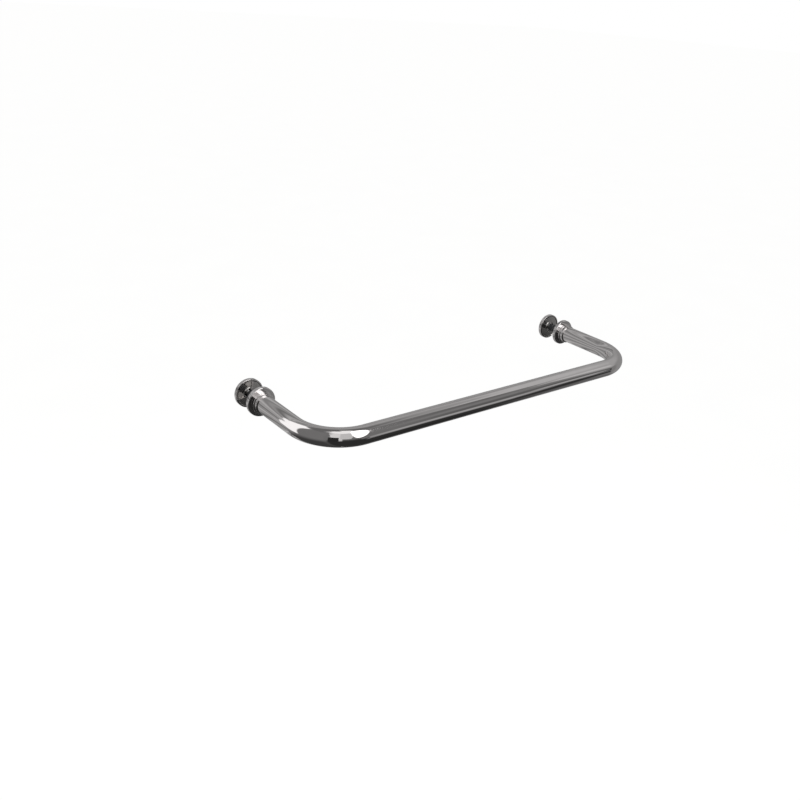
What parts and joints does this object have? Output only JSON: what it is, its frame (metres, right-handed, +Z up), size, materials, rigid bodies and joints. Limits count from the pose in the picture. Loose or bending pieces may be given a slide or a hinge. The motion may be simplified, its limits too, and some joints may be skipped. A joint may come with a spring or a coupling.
{
  "type": "radiator towel bar",
  "caption": "Bent round towel bar whose two ends clamp onto neighbouring cross tubes of a ladder radiator between screw-drawn discs.",
  "frame": {"origin": "midway between the axes of the two clamps, in the plane of the radiator tubes' axes, at the middle of the gap between the two tubes", "axes": "+X along the bar, to the right as seen from the room, +Y from the bar towards the wall, +Z up"},
  "size_m": [0.482, 0.1637, 0.032],
  "materials": {
    "chrome_tube": "polished bright chrome plate on steel tube",
    "chrome_fitting": "polished bright chrome plate on turned brass",
    "plated_steel": "zinc plated steel, satin",
    "pad_plastic": "soft translucent plastic, satin",
    "black_plastic": "matte black plastic tube"
  },
  "bodies": {
    "bar": {"bar_tube": "chrome_tube", "left_bar_insert": "chrome_fitting", "left_collar_ring": "chrome_fitting", "left_front_disc": "chrome_fitting", "left_front_pad": "pad_plastic", "left_screw_sleeve": "black_plastic", "right_bar_insert": "chrome_fitting", "right_collar_ring": "chrome_fitting", "right_front_disc": "chrome_fitting", "right_front_pad": "pad_plastic", "right_screw_sleeve": "black_plastic"},
    "left_jaw": {"left_rear_pad": "pad_plastic", "left_rear_disc": "chrome_fitting", "left_washer": "plated_steel", "left_spring_washer": "plated_steel"},
    "left_screw": {"left_clamp_screw": "plated_steel"},
    "right_jaw": {"right_rear_pad": "pad_plastic", "right_rear_disc": "chrome_fitting", "right_washer": "plated_steel", "right_spring_washer": "plated_steel"},
    "right_screw": {"right_clamp_screw": "plated_steel"}
  },
  "joints": [
    {"name": "left_jaw_slide", "type": "slide", "parent": "bar", "child": "left_jaw", "axis": [0, 1, 0], "range_m": [-0.003, 0.008]},
    {"name": "left_screw_turn", "type": "hinge", "parent": "left_jaw", "child": "left_screw", "pos_m": [-0.225, 0, 0], "axis": [0, 1, 0], "range_deg": [-1080, 2880]},
    {"name": "right_jaw_slide", "type": "slide", "parent": "bar", "child": "right_jaw", "axis": [0, 1, 0], "range_m": [-0.003, 0.008]},
    {"name": "right_screw_turn", "type": "hinge", "parent": "right_jaw", "child": "right_screw", "pos_m": [0.225, 0, 0], "axis": [0, 1, 0], "range_deg": [-1080, 2880]}
  ],
  "couplings": [
    {"joint": "left_screw_turn", "follows": "left_jaw_slide", "rad_per_m": 6283.2},
    {"joint": "right_screw_turn", "follows": "right_jaw_slide", "rad_per_m": 6283.2}
  ]
}
